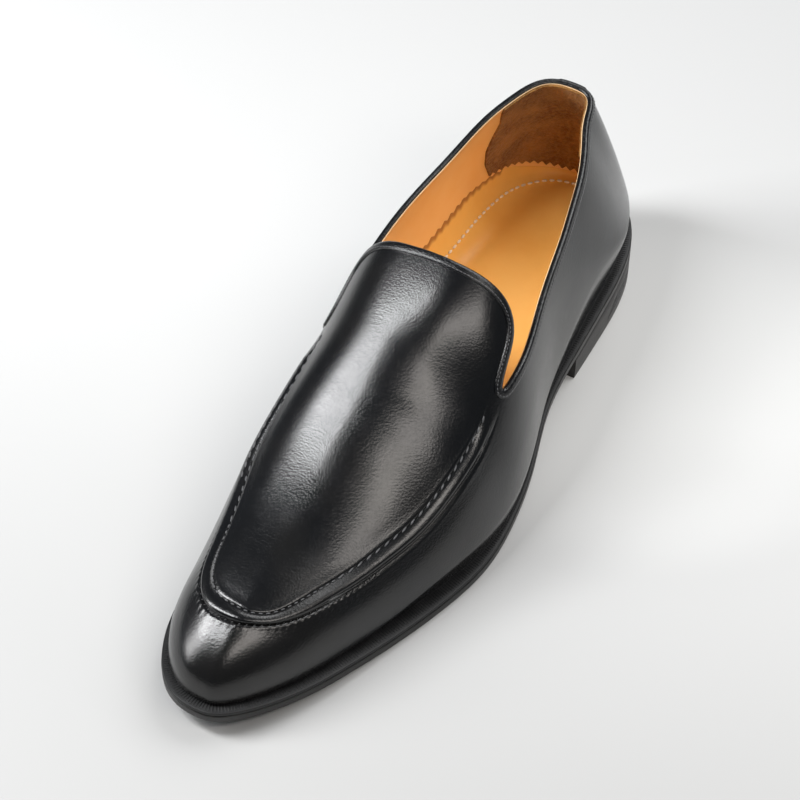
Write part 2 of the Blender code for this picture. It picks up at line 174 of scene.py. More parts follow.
def smoothCurve(x, y):                     # natural spline, straight beyond its ends
    count, step = len(x), np.diff(x)
    matrix, right = np.eye(count), np.zeros(count)
    for i in range(1, count - 1):
        matrix[i, i - 1:i + 2] = step[i - 1], 2.0 * (step[i - 1] + step[i]), step[i]
        right[i] = 6.0 * ((y[i + 1] - y[i]) / step[i] - (y[i] - y[i - 1]) / step[i - 1])
    bend = np.linalg.solve(matrix, right)
    first = (y[1] - y[0]) / step[0] - step[0] * (2.0 * bend[0] + bend[1]) / 6.0
    final = (y[-1] - y[-2]) / step[-1] + step[-1] * (bend[-2] + 2.0 * bend[-1]) / 6.0

    def at(t):
        t = np.asarray(t, float)
        inside = np.clip(t, x[0], x[-1])
        k = np.clip(np.searchsorted(x, inside) - 1, 0, count - 2)
        before, after, h = x[k + 1] - inside, inside - x[k], step[k]
        value = (bend[k] * before ** 3 + bend[k + 1] * after ** 3) / (6.0 * h)
        value += (y[k] / h - bend[k] * h / 6.0) * before + (y[k + 1] / h - bend[k + 1] * h / 6.0) * after
        return value + np.minimum(t - x[0], 0.0) * first + np.maximum(t - x[-1], 0.0) * final
    return at


def curvesOf(table, key="along"):
    return {name: smoothCurve(table[key], values) for name, values in table.items() if name != key}


def ease(t):
    t = np.clip(t, 0.0, 1.0)
    return t * t * (3.0 - 2.0 * t)


def hump(t, wide):                         # soft bump, one at t = 0
    return np.exp(-(t / wide) ** 2)


soleAt, lastAt, apronAt, collarAt = (curvesOf(table) for table in (soleEdge, last, apronLine, collarLine))
wallAt = (curvesOf(lateralWall), curvesOf(medialWall))
undersideAt = curvesOf(underside)["height"]
tongueAt = curvesOf(tongueLine, "height")["along"]


def floorLine(along):
    shank = np.where(along < underside["along"][-2], np.maximum(undersideAt(along), 0.0), 0.0)
    lift = np.clip((along - shoe["springFrom"]) / (shoe["length"] - shoe["springFrom"]), 0.0, None)
    return shank + shoe["spring"] * lift ** shoe["springPower"]


def swing(along):
    way = np.clip((along - shoe["swingFrom"]) / (shoe["length"] - shoe["swingFrom"]), 0.0, None)
    return shoe["swing"] * way ** shoe["swingPower"]


def outline(pace):                         # loop round the sole from the toe tip: lateral, heel back, medial
    capSteps, sideSteps = 600, 800         # fine points first, then one for each pace
    toeTurn = np.linspace(math.pi / 2, 0.0, capSteps, endpoint=False)
    heelTurn = np.linspace(0.0, math.pi / 2, capSteps)
    toePower, heelPower = 2.0 / shoe["toePower"], 2.0 / shoe["heelPower"]
    along = np.concatenate([
        shoe["toeCap"] + (shoe["length"] - shoe["toeCap"]) * np.sin(toeTurn) ** toePower,
        np.linspace(shoe["toeCap"], shoe["heelCap"], sideSteps, endpoint=False),
        shoe["heelCap"] * (1.0 - np.sin(heelTurn) ** heelPower),
    ])
    narrow = np.concatenate([
        np.abs(np.cos(toeTurn)) ** toePower, np.ones(sideSteps), np.abs(np.cos(heelTurn)) ** heelPower,
    ])
    narrow[0] = narrow[-1] = 0.0
    lateral = swing(along) + soleAt["lateral"](along) * narrow
    spacing = pace(0.5 * (along[1:] + along[:-1])) if callable(pace) else pace
    way = np.concatenate([[0.0], np.cumsum(np.hypot(np.diff(lateral), np.diff(along)) / spacing)])
    stops = np.linspace(0.0, way[-1], int(round(way[-1])) + 1)
    along, narrow = np.interp(stops, way, along), np.interp(stops, way, narrow)
    right = np.stack([swing(along) + soleAt["lateral"](along) * narrow, along], 1)
    left = np.stack([swing(along) - soleAt["medial"](along) * narrow, along], 1)
    return np.concatenate([right, left[-2:0:-1]]), len(right) - 1


def inward(loop):
    tangent = np.roll(loop, -1, 0) - np.roll(loop, 1, 0)
    normal = np.stack([tangent[:, 1], -tangent[:, 0]], 1)
    return normal / np.linalg.norm(normal, axis=1)[:, None]


def loopRun(loop):                         # distance walked to each point of a loop, and all the way round
    step = np.linalg.norm(np.diff(loop, axis=0, append=loop[:1]), axis=1)
    return np.concatenate([[0.0], np.cumsum(step)[:-1]]), step.sum()


def climbUp(grid):                         # distance walked from level to level of a grid
    step = np.linalg.norm(np.diff(grid, axis=0), axis=2)
    return np.concatenate([np.zeros((1, grid.shape[1])), np.cumsum(step, axis=0)])


def spineAlong(along):
    tip = shoe["length"] - last["ledge"][-1]
    toe = along - np.clip(along - shoe["fanToe"], 0.0, None) ** 2 / (2.0 * (tip - shoe["fanToe"]))
    return toe + np.clip(shoe["fanHeel"] - along, 0.0, None) ** 2 / (2.0 * shoe["fanHeel"])


def isMedial(loop):
    return loop[:, 0] < swing(loop[:, 1]) - 1e-6


def bySide(loop, name):
    return np.where(isMedial(loop), wallAt[1][name](loop[:, 1]), wallAt[0][name](loop[:, 1]))


def footRing(loop):                        # where the upper meets the welt, and the height there
    foot = loop + inward(loop) * lastAt["ledge"](loop[:, 1])[:, None]
    return foot, floorLine(loop[:, 1]) + shoe["outsole"] + shoe["join"]


def lastPoint(loop, share):                # share -1 at the foot, 0 at the widest line, 1 at the spine
    foot, base = footRing(loop)
    wide = foot - inward(loop) * bySide(loop, "bulge")[:, None]
    middle = spineAlong(loop[:, 1])
    spine = np.stack([lastAt["side"](middle), middle], 1)
    tall, power = bySide(loop, "wide"), bySide(loop, "power")
    below = np.clip(-share, 0.0, 1.0)
    reach = 1.0 - np.clip(share, 0.0, 1.0)
    low = wide + (foot - wide) * ease(below)[:, None]
    plan = np.where((share > 0.0)[:, None], spine + (wide - spine) * reach[:, None], low)
    widest = base + tall
    rise = (1.0 - reach ** power) ** (1.0 / power)
    up = widest + (lastAt["ridge"](plan[:, 1]) - widest) * rise
    return np.concatenate([plan, np.where(share > 0.0, up, widest - tall * below)[:, None]], 1)


def seamShare(loop):
    along = np.maximum(loop[:, 1], apronLine["along"][0])
    return np.where(isMedial(loop), apronAt["medial"](along), apronAt["lateral"](along))


def sharesAcrossSeam(loop, gaps):          # shares this far up or down the wall, a row for each level
    fine = np.linspace(0.0, 1.0, 260) ** 2
    grid = np.stack([lastPoint(loop, np.full(len(loop), share)) for share in fine])
    run, seam, found = climbUp(grid), seamShare(loop), np.empty(gaps.shape)
    for j in range(len(loop)):
        found[:, j] = np.interp(np.interp(seam[j], fine, run[:, j]) + gaps[:, j], run[:, j], fine)
    return found


def collarHeight(side, along):
    inside = np.clip(along, collarLine["along"][0], collarLine["along"][-1])
    return collarAt["height"](inside) - collarAt["tilt"](inside) * (side - shoe["collarMiddle"])


def openingField(points):                  # positive where the foot goes in; its zero line is the bound edge
    side, along, height = points.T
    edge = tongueAt(np.clip(height, tongueLine["height"][0], tongueLine["height"][-1]))
    over, behind, soft = height - collarHeight(side, along), edge - along, shoe["notchRound"]
    mix = np.clip(0.5 + 0.5 * (behind - over) / soft, 0.0, 1.0)
    return behind + (over - behind) * mix - soft * mix * (1.0 - mix)


edgeSides = outline(1.0)[0][:, 0]
sideMiddle = 0.5 * (edgeSides.max() + edgeSides.min())


def toFrame(points):                       # shoe frame to the part's frame, still in millimetres
    points = np.asarray(points, float)
    return np.stack([points[:, 0] - sideMiddle, shoe["length"] / 2 - points[:, 1], points[:, 2]], 1)


def toShoe(points):                        # and back
    return np.stack([points[:, 0] + sideMiddle, shoe["length"] / 2 - points[:, 1], points[:, 2]], 1)


# mesh helpers
def show(name, data):
    made = bpy.data.objects.new(name, data)
    bpy.context.scene.collection.objects.link(made)
    return made


def fitPiece(name, mesh, replaced=()):
    piece = show(name, mesh)
    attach(piece, "root")
    if replaced:
        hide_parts(*replaced)


def addPiece(name, points, faces, material, replaced=(), marks=None, sharp=40.0):
    mesh = bpy.data.meshes.new(name)
    mesh.from_pydata((np.asarray(points) * mm).tolist(), [], [list(map(int, face)) for face in faces])
    mesh.validate()
    for mark, values in (marks or {}).items():
        mesh.attributes.new(mark, "FLOAT", "POINT").data.foreach_set("value", np.asarray(values, np.float32))
    mesh.shade_smooth()
    mesh.set_sharp_from_angle(angle=math.radians(sharp))
    mesh.materials.append(material)
    fitPiece(name, mesh, replaced)


def loopBands(count, levels):              # quads between levels of closed loops
    faces = []
    for low in range(0, (levels - 1) * count, count):
        for j in range(count):
            k = (j + 1) % count
            faces.append((low + j, low + k, low + count + k, low + count + j))
    return faces


def stripBands(count, levels, around=False):   # quads between open rows; around joins last and first
    total, lows = levels * count, range(0, (levels if around else levels - 1) * count, count)
    return [tuple((low + k) % total for k in (j, j + 1, count + j + 1, count + j))
            for low in lows for j in range(count - 1)]


def turnFaces(points, faces, outward):     # turns all faces round if the first looks away from this direction
    a, b, _, d = (points[k] for k in faces[0])
    return faces if np.dot(np.cross(b - a, d - a), outward) > 0.0 else [face[::-1] for face in faces]


def loopLid(count, half, base, flip):      # closes a loop rung by rung between its two sides
    faces = [(base, base + 1, base + count - 1)]
    faces += [(base + i, base + i + 1, base + count - i - 1, base + count - i) for i in range(1, half - 1)]
    faces.append((base + half - 1, base + half, base + half + 1))
    return [face[::-1] for face in faces] if flip else faces


def vertexNormals(points, faces):
    quads = np.array([face if len(face) == 4 else (*face, face[-1]) for face in faces])
    flat = np.cross(points[quads[:, 2]] - points[quads[:, 0]], points[quads[:, 3]] - points[quads[:, 1]])
    normal = np.zeros_like(points)
    for k in range(4):
        np.add.at(normal, quads[:, k], flat)
    return normal / np.maximum(np.linalg.norm(normal, axis=1), 1e-12)[:, None]


def lastSkin(loop, half, shares, apart=0.8):   # closed-over skin of the last, its crown's doubles joined
    count = len(loop)
    grid = np.stack([lastPoint(loop, share) for share in shares])
    spine = lastPoint(loop, np.ones(count))[:half + 1]
    crown, heads = [0], [0]
    for i in range(1, half + 1):
        if np.linalg.norm(spine[i] - spine[heads[-1]]) > apart:
            heads.append(i)
        crown.append(len(heads) - 1)
    points = np.concatenate([grid.reshape(-1, 3), spine[heads]])
    faces = loopBands(count, len(shares))
    base, top = (len(shares) - 1) * count, len(shares) * count
    for j in range(count):
        k = (j + 1) % count
        ends = [top + crown[i if i <= half else count - i] for i in (k, j)]
        faces.append((base + j, base + k) + tuple(dict.fromkeys(ends)))
    return points, faces


def clipSheet(data, field, faces):         # keeps what has a negative field, and gives the new edge as a loop
    kept, cuts, segments, extra = [], {}, [], []

    def cut(a, b):
        key = (a, b) if a < b else (b, a)
        if key not in cuts:
            a, b = key
            t = field[a] / (field[a] - field[b])
            cuts[key] = len(data) + len(extra)
            extra.append(data[a] + (data[b] - data[a]) * t)
        return cuts[key]

    out = field > 0.0
    for face in faces:
        flags = [out[k] for k in face]
        if not any(flags):
            kept.append(tuple(face))
            continue
        if all(flags):
            continue
        for tri in ([face] if len(face) == 3 else [face[:3], (face[0], face[2], face[3])]):
            inside = [k for k in tri if not out[k]]
            if len(inside) == 3:
                kept.append(tuple(tri))
            if len(inside) in (0, 3):
                continue
            i = [n for n in range(3) if out[tri[n]] != (len(inside) == 1)][0]
            a, b, c = tri[i], tri[(i + 1) % 3], tri[(i + 2) % 3]
            ab, ac = cut(a, b), cut(a, c)
            kept.append((a, ab, ac) if len(inside) == 1 else (ab, b, c, ac))
            segments.append((ab, ac))
    data = np.concatenate([data, np.array(extra)])
    links = {}
    for a, b in segments:
        links.setdefault(a, []).append(b)
        links.setdefault(b, []).append(a)
    walk, before = [segments[0][0]], None
    while True:
        nexts = [k for k in links[walk[-1]] if k != before]
        before = walk[-1]
        if not nexts or nexts[0] == walk[0]:
            break
        walk.append(nexts[0])
    used = np.unique(np.concatenate([np.array(face) for face in kept]))
    fresh = np.full(len(data), -1)
    fresh[used] = np.arange(len(used))
    return data[used], [tuple(fresh[k] for k in face) for face in kept], fresh[walk]


def closeShell(outer, inner, faces):       # outside, inside and the rims between them
    total, edges = len(outer), {}
    for face in faces:
        for a, b in zip(face, face[1:] + face[:1]):
            edges[(a, b)] = True
    rims = [(b, a, total + a, total + b) for a, b in edges if (b, a) not in edges]
    backs = [tuple(total + k for k in reversed(face)) for face in faces]
    return np.concatenate([outer, inner]), list(faces) + backs + rims


def unit(vectors):
    return vectors / np.linalg.norm(vectors, axis=1)[:, None]


def resample(path, spacing):               # even spacing round a closed path of places and normals
    ring = np.concatenate([path, path[:1]])
    run = np.concatenate([[0.0], np.cumsum(np.linalg.norm(np.diff(ring[:, :3], axis=0), axis=1))])
    stops = np.linspace(0.0, run[-1], int(round(run[-1] / spacing)) + 1)[:-1]
    return np.stack([np.interp(stops, run, ring[:, k]) for k in range(ring.shape[1])], 1)


def calm(values, rounds):                  # evens out small steps round a closed path
    for _ in range(rounds):
        values = 0.25 * np.roll(values, 1, 0) + 0.5 * values + 0.25 * np.roll(values, -1, 0)
    return values


def pinking(run, edge):                    # depth of a row of teeth
    return edge["tooth"] * np.abs(2.0 * (run / edge["toothPitch"] % 1.0) - 1.0)


# shader helpers
class Wire:                                # a socket that takes part in sums
    def __init__(self, board, socket):
        self.board, self.socket = board, socket

    def sum(self, operation, first, second):
        return self.board.node("ShaderNodeMath", {"operation": operation}, {0: first, 1: second})

    def __add__(self, other):
        return self.sum("ADD", self, other)

    def __radd__(self, other):
        return self.sum("ADD", other, self)

    def __sub__(self, other):
        return self.sum("SUBTRACT", self, other)

    def __rsub__(self, other):
        return self.sum("SUBTRACT", other, self)

    def __mul__(self, other):
        return self.sum("MULTIPLY", self, other)

    def __rmul__(self, other):
        return self.sum("MULTIPLY", other, self)

    def sine(self):
        return self.sum("SINE", self, 0.0)


class Finish:                              # one material and its board of nodes
    def __init__(self, name, values):
        self.material = bpy.data.materials.new(name)
        self.material.use_nodes = True
        self.tree = self.material.node_tree
        self.shader = self.tree.nodes["Principled BSDF"]
        for socket, value in values.items():
            self.feed(socket, value)
        self.place = self.node("ShaderNodeTexCoord", out="Object")

    def node(self, kind, settings=None, sockets=None, out=0):
        made = self.tree.nodes.new(kind)
        for key, value in (settings or {}).items():
            setattr(made, key, value)
        for key, value in (sockets or {}).items():
            self.link(made.inputs[key], value)
        return Wire(self, made.outputs[out])

    def link(self, socket, value):
        if isinstance(value, Wire):
            self.tree.links.new(value.socket, socket)
        elif isinstance(value, tuple) and len(value) == 3 and socket.type == "RGBA":
            socket.default_value = (*value, 1.0)
        else:
            socket.default_value = value

    def feed(self, socket, value):
        self.link(self.shader.inputs[socket], value)

    def noise(self, scale, detail=2.0, rough=0.5, vector=None):
        sockets = {"Vector": vector or self.place, "Scale": scale, "Detail": detail, "Roughness": rough}
        return self.node("ShaderNodeTexNoise", None, sockets)

    def cells(self, scale):
        return self.node("ShaderNodeTexVoronoi", None, {"Vector": self.place, "Scale": scale}, "Distance")

    def mark(self, name):
        return self.node("ShaderNodeAttribute", {"attribute_name": name}, out="Fac")

    def span(self, value, low, high, first=0.0, final=1.0):
        return self.node("ShaderNodeMapRange", {"interpolation_type": "SMOOTHSTEP"},
                         {0: value, 1: low, 2: high, 3: first, 4: final})

    def mix(self, factor, first, second):
        return self.node("ShaderNodeMix", {"data_type": "RGBA"}, {0: factor, 6: first, 7: second}, 2)

    def bump(self, height, distance, normal=None):
        sockets = {"Height": height, "Distance": distance}
        if normal:
            sockets["Normal"] = normal
        return self.node("ShaderNodeBump", None, sockets)


calfLook = dict(
    dark=(0.0030, 0.0032, 0.0040), warm=(0.0062, 0.0057, 0.0054), rough=0.21,
    grain=1300.0, grainDepth=0.00006, bindingDepth=0.00012,
    pucker=2.3, puckerDepth=0.00005,       # small folds drawn in by the seam round the toe
)


def calfFinish(name, grainDepth):
    look = Finish(name, {"Specular IOR Level": 0.5, "Coat Roughness": 0.16, "IOR": 1.5})
    burnish = look.span(look.noise(24.0, 3.0), 0.42, 0.72)
    look.feed("Base Color", look.mix(burnish, calfLook["dark"], calfLook["warm"]))
    fine, broad = look.noise(260.0, 3.0) - 0.5, look.noise(38.0) - 0.5
    look.feed("Roughness", calfLook["rough"] + fine * 0.08 + broad * 0.06)
    look.feed("Coat Weight", 0.18 + (look.noise(60.0) - 0.5) * 0.2)
    gap, run = look.mark("seamGap"), look.mark("seamRun")
    below = look.span(gap, -5.5, -2.7) * look.span(gap, -2.3, -2.5) * look.span(run, 70.0, 40.0)
    folds = (run * calfLook["pucker"] + look.noise(200.0) * 3.0).sine() * below
    soft = look.bump(look.noise(90.0), 0.00006)
    drawn = look.bump(folds, calfLook["puckerDepth"], soft)
    pores = look.cells(calfLook["grain"]) * 0.7 + look.noise(4200.0) * 0.5
    look.feed("Normal", look.bump(pores, grainDepth, drawn))
    return look.material


calf = calfFinish("blackCalf", calfLook["grainDepth"])
bindingCalf = calfFinish("blackBinding", calfLook["bindingDepth"])


def threadFinish(name, colour, rough):
    look = Finish(name, {"Roughness": rough})
    twist = look.noise(2600.0, 1.0)
    look.feed("Base Color", look.mix(twist, tuple(c * 0.8 for c in colour), colour))
    look.feed("Normal", look.bump(twist, 0.00008))
    return look.material


blackThread = threadFinish("blackThread", (0.022, 0.022, 0.024), 0.38)
# painted highlight: this black thread is given a mid grey colour so its stitches read as glinting
paintedGlintThread = threadFinish("paintedGlintThread", (0.10, 0.10, 0.105), 0.3)
paleThread = threadFinish("paleThread", (1.0, 0.93, 0.80), 0.7)


def tanFinish(name, pale, deep, rough, edge):
    look = Finish(name, {"Specular IOR Level": 0.4})
    cloud = look.span(look.noise(34.0, 4.0, 0.6), 0.3, 0.75)
    # near the edge the colour turns to edge: a pale line on the lining, painted shadow along the sock's
    # pinked teeth
    nearEdge = look.span(look.mark("edgeGap"), 0.4, 1.5, 1.0, 0.0)
    look.feed("Base Color", look.mix(nearEdge, look.mix(cloud, pale, deep), edge))
    look.feed("Roughness", rough + (look.noise(180.0, 3.0) - 0.5) * 0.14)
    pores = look.cells(2200.0) * 0.6 + look.noise(900.0, 3.0)
    look.feed("Normal", look.bump(pores, 0.00003))
    return look.material


liningTan = tanFinish("liningTan", (0.99, 0.62, 0.25), (0.96, 0.55, 0.19), 0.5, (0.97, 0.70, 0.42))
# painted shadow: the sock's dark brown edge colour stands in for the shade in the gaps under its pinked teeth
sockTan = tanFinish("sockTan", (0.95, 0.57, 0.155), (0.89, 0.50, 0.12), 0.36, (0.42, 0.19, 0.055))


def suedeFinish():
    sheen = {"Sheen Weight": 0.12, "Sheen Roughness": 0.5}
    look = Finish("gripSuede", {"Roughness": 0.95, "Specular IOR Level": 0.1, **sheen})
    nap = look.span(look.noise(650.0, 4.0, 0.7), 0.36, 0.66)
    cloud = look.span(look.noise(70.0, 3.0), 0.38, 0.64)
    deep = look.mix(cloud, (0.22, 0.092, 0.018), (0.40, 0.19, 0.048))
    look.feed("Base Color", look.mix(nap * 0.55, deep, (0.52, 0.28, 0.085)))
    look.feed("Normal", look.bump(nap, 0.0005))
    return look.material


gripSuede = suedeFinish()


def soleFinish(name, colour, rough, streak):
    look = Finish(name, {"Specular IOR Level": 0.45})
    stretch = look.node("ShaderNodeMapping", None, {"Vector": look.place, "Scale": (1.0, 1.0, streak)})
    wear = look.noise(160.0, 4.0, 0.6, stretch)
    look.feed("Base Color", look.mix(look.span(wear, 0.4, 0.8), colour, tuple(c * 2.2 for c in colour)))
    look.feed("Roughness", rough + (wear - 0.5) * 0.25)
    look.feed("Normal", look.bump(look.noise(700.0, 3.0, 0.5, stretch), 0.00005))
    return look.material


weltBlack = soleFinish("weltBlack", (0.007, 0.007, 0.0075), 0.5, 1.0)
edgeBlack = soleFinish("edgeBlack", (0.010, 0.0095, 0.009), 0.42, 4.0)
heelBlack = soleFinish("heelBlack", (0.012, 0.0105, 0.010), 0.44, 6.0)
print("finishes ready")

# the upper's leather, with the rolled apron seam and the creases as relief
apron = dict(
    stretch=1.45, narrow=0.5, narrowAt=21.0, narrowOver=18.0,   # wide but for a stretch beside the toe tip
    fadeFrom=158.0, fadeOver=20.0,         # the roll runs out before the notch
    cutFrom=158.0, cutTo=270.0, cutOver=20.0,   # a fine groove parts it on the lateral side
)
seamProfile = rows(                        # gap is up the wall from the seam, lift is off the last
    "gap lift",
    (-5.0, 0.0),
    (-4.0, 0.05),
    (-3.1, 0.16),
    (-2.5, 0.02),
    (-2.1, -0.45),
    (-1.75, 0.25),
    (-1.45, 0.85),
    (-0.95, 1.2),
    (-0.4, 1.25),
    (0.4, 1.1),
    (0.9, 0.92),
    (1.4, 0.68),
    (1.9, 0.34),
    (2.45, -0.22),
    (2.9, 0.1),
    (3.6, 0.16),
    (4.4, 0.05),
    (5.2, 0.0),
)
lateralCut = rows(                         # taken off the roll on the lateral side
    "gap cut",
    (-2.5, 0.0),
    (-2.1, -0.35),
    (-1.75, -0.45),
    (-1.45, 0.1),
    (-1.2, 0.6),
    (-0.85, 0.2),
    (-0.4, 0.0),
    (1.9, 0.0),
)
creaseBank = dict(tall=0.6, off=2.2, wide=1.4, taper=0.6)   # each trough has a low bank beside it
creases = rows(                            # soft troughs across the vamp, and a ridge on the tongue
    "along side turn length depth wide",
    (151.0, 9.0, 86.0, 34.0, -0.45, 8.0),
    (187.0, -2.0, 12.0, 24.0, 0.07, 3.0),
    (180.0, 9.0, -8.0, 18.0, 0.06, 2.5),
    (166.0, 4.0, 16.0, 20.0, 0.07, 3.0),
    (203.0, 6.0, 10.0, 20.0, 0.05, 3.5),
)


def seamStretch(loop):
    run, total = loopRun(loop)
    signed = np.where(isMedial(loop), run - total, run)
    return apron["stretch"] - apron["narrow"] * hump(signed - apron["narrowAt"], apron["narrowOver"])


def seamLevels():                          # the profile's own gaps and one between each two
    gaps = np.union1d(seamProfile["gap"], lateralCut["gap"])
    return np.sort(np.concatenate([gaps, 0.5 * (gaps[1:] + gaps[:-1])])).round(3)


def seamRelief(gap, along, medial):        # gap in the profile's own units
    fade = ease((along - apron["fadeFrom"]) / apron["fadeOver"])
    lift = np.interp(gap, seamProfile["gap"], seamProfile["lift"])
    over = apron["cutOver"]
    parted = ease((along - apron["cutFrom"]) / over) * ease((apron["cutTo"] - along) / over) * ~medial
    return fade * (lift - parted * np.interp(gap, lateralCut["gap"], lateralCut["cut"]))


def creaseRelief(points):
    relief = np.zeros(len(points))
    for along, side, turn, length, depth, wide in zip(*creases.values()):
        ahead, aside, turn = points[:, 1] - along, points[:, 0] - side, math.radians(turn)
        across = ahead * math.cos(turn) - aside * math.sin(turn)
        beside = ahead * math.sin(turn) + aside * math.cos(turn)
        bank = creaseBank["tall"] * hump(across - creaseBank["off"] * wide, creaseBank["wide"] * wide)
        relief -= depth * (hump(across, wide) - bank) * hump(beside, creaseBank["taper"] * length)
    return relief


upperMesh = dict(pace=0.95, heelMore=1.35, coarseFrom=150.0, coarseOver=30.0, below=12, toSeam=8, above=30)


def upperPace(along):                      # fine round the toe, coarser toward the heel
    toHeel = ease((upperMesh["coarseFrom"] - along) / upperMesh["coarseOver"])
    return upperMesh["pace"] + upperMesh["heelMore"] * toHeel


def makeUpper():
    loop, half = outline(upperPace)
    count, gaps, stretch = len(loop), seamLevels(), seamStretch(loop)
    seamRows = sharesAcrossSeam(loop, gaps[:, None] * stretch[None, :])
    shares = [np.full(count, share) for share in np.linspace(-1.0, 0.0, upperMesh["below"] + 1)[:-1]]
    shares += [seamRows[0] * way for way in np.linspace(0.0, 1.0, upperMesh["toSeam"] + 1)[:-1]]
    low = len(shares)
    shares += list(seamRows)
    ways = np.linspace(0.0, 1.0, upperMesh["above"] + 1)[1:-1]
    shares += [seamRows[-1] + (1.0 - seamRows[-1]) * way for way in ways]
    base, faces = lastSkin(loop, half, shares)
    points = toFrame(base)
    normal = vertexNormals(points, faces)
    inRows = len(shares) * count           # the points of the crown come after them
    grid = points[:inRows].reshape(len(shares), count, 3)

    def everywhere(values, atCrown):       # one row of values goes to every level
        levels = np.broadcast_to(values, (len(shares), count))
        return np.concatenate([levels.ravel(), np.full(len(points) - inRows, atCrown)])

    seamRow, climb = low + int(np.argmin(np.abs(gaps))), climbUp(grid)
    gap = everywhere((climb - climb[seamRow]) / stretch[None, :] + gaps[seamRow - low], 60.0)
    run, total = loopRun(grid[seamRow])
    runs = everywhere(np.minimum(run, total - run), 0.0)
    fanned, medial = everywhere(loop[:, 1], 0.0), everywhere(isMedial(loop), False)
    outer = points + normal * (seamRelief(gap, fanned, medial) + creaseRelief(base))[:, None]
    lines = {}
    for k, level in enumerate(gaps, low):
        row = slice(k * count, (k + 1) * count)
        lines[level] = outer[row], normal[row]
    data = np.column_stack([outer, points, normal, gap, runs])
    data, faces, rim = clipSheet(data, openingField(base), faces)
    outer, points, normal = data[:, :3], data[:, 3:6], data[:, 6:9]
    solid, closed = closeShell(outer, points - normal * shoe["leather"], faces)
    marks = {"seamGap": np.tile(data[:, 9], 2), "seamRun": np.tile(data[:, 10], 2)}
    addPiece("upperLeather", solid, closed, calf, ["upper"], marks, 50.0)
    return np.column_stack([points[rim], normal[rim]]), lines, loop


edgePath, seamPaths, fineLoop = makeUpper()
print("upper leather made")


lining = dict(pace=2.2, slack=0.05, below=8, above=39, crowd=1.6)   # crowd sets its rows closer low down


def makeLining():
    loop, half = outline(lining["pace"])
    levels = np.concatenate([
        np.linspace(-1.0, 0.0, lining["below"] + 1)[:-1],
        np.linspace(0.0, 1.0, lining["above"] + 1)[:-1] ** lining["crowd"],
    ])
    base, faces = lastSkin(loop, half, [np.full(len(loop), share) for share in levels])
    points = toFrame(base)
    normal, field = vertexNormals(points, faces), openingField(base)
    data, faces, _ = clipSheet(np.column_stack([points, normal, field]), field, faces)
    points, normal, field = data[:, :3], data[:, 3:6], data[:, 6]
    outer, inner = (points - normal * deep for deep in (shoe["leather"] + lining["slack"], shoe["wall"]))
    solid, closed = closeShell(outer, inner, faces)
    addPiece("lining", solid, closed, liningTan, (), {"edgeGap": -np.tile(field, 2)}, 50.0)


makeLining()
print("lining made")

# the bound edge: one profile swept round the opening, split at the notches into collar and tongue
binding = dict(
    spacing=1.1,
    lapLift=0.35, lapOver=0.3, lapAlong=22.0, lapSides=(-9.0, 2.0),   # the ends overlap at the heel back
)
bindingProfile = rows(                     # inset from the edge, lift off the leather
    "inset lift",
    (3.2, -0.2),
    (3.2, 0.32),
    (2.9, 0.55),
    (1.9, 0.66),
    (0.9, 0.70),
    (0.2, 0.56),
    (-0.35, 0.16),
    (-0.55, -0.4),
    (-0.55, -1.0),
    (-0.4, -1.5),
    (-0.05, -1.72),
    (0.5, -1.6),
    (1.0, -0.8),
)


def edgeFrames():
    path = calm(resample(edgePath, binding["spacing"]), 3)
    place = path[:, :3]
    tangent = unit(np.roll(place, -1, 0) - np.roll(place, 1, 0))
    normal = unit(path[:, 3:] - tangent * np.sum(path[:, 3:] * tangent, axis=1)[:, None])
    into = np.cross(tangent, normal)
    if np.mean(openingField(toShoe(place + into))) > 0.0:
        into = -into
    return place, normal, unit(calm(into, 2))


edgePlace, edgeNormal, edgeInto = edgeFrames()


def makeBinding(name, members, replaced):
    place, normal, into = edgePlace[members], edgeNormal[members], edgeInto[members]
    side, along = toShoe(place).T[:2]
    count, wide = len(members), len(bindingProfile["inset"])
    low, high = binding["lapSides"]
    lap = binding["lapLift"] * (along < binding["lapAlong"]) * (side > low) * (side < high)
    points = np.concatenate([
        place + into * inset + normal * (lift + lap * (lift > binding["lapOver"]))[:, None]
        for inset, lift in zip(bindingProfile["inset"], bindingProfile["lift"])
    ])
    faces = stripBands(count, wide, True)
    start = tuple(r * count for r in range(wide))
    faces += [start, tuple(k + count - 1 for k in reversed(start))]
    faces = turnFaces(points, faces, points[0] - points[::count].mean(0))
    addPiece(name, points, faces, bindingCalf, replaced, None, 60.0)


def splitEdge():                           # the notches are the edge's most forward points, one on each side
    side, along = toShoe(edgePlace).T[:2]
    ends = [int(np.argmax(np.where(members, along, -1.0))) for members in (side > 0.0, side <= 0.0)]
    low, high = min(ends), max(ends)
    first, second = list(range(low, high + 1)), list(range(high, len(along))) + list(range(low + 1))
    tongueFirst = along[first].mean() > along[second].mean()
    return (second, first) if tongueFirst else (first, second)


collarRun, tongueRun = splitEdge()
makeBinding("collarBinding", collarRun, ["collar_binding"])
makeBinding("tongueBinding", tongueRun, ["tongue_binding"])
print("bindings made")


